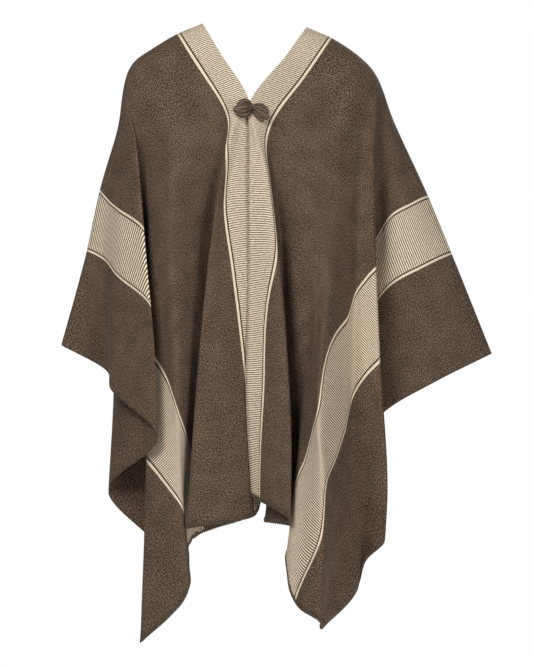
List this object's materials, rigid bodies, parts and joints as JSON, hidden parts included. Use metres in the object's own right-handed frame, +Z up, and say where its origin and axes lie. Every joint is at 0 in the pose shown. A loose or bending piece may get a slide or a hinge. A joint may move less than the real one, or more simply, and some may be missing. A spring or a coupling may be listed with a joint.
{
  "type": "andean poncho",
  "caption": "Worn open-front wool poncho of two striped loom widths joined down the back, hanging in deep folds and closed at the chest by a knotted cloth toggle.",
  "frame": {"origin": "on the shoulder line, midway between the two points where the neck opening leaves it", "axes": "+Z up along the body, the wearer faces -Y, +X towards the wearer's left arm"},
  "size_m": [0.8177, 0.5016, 1.1641],
  "materials": {
    "wool_cloth": "matt handwoven wool with cream bands",
    "rolled_wool": "matt brown wool, rolled and knotted"
  },
  "bodies": {
    "root": {"left_panel": "wool_cloth", "right_panel": "wool_cloth", "toggle_button": "rolled_wool", "toggle_loop": "rolled_wool"}
  },
  "joints": []
}
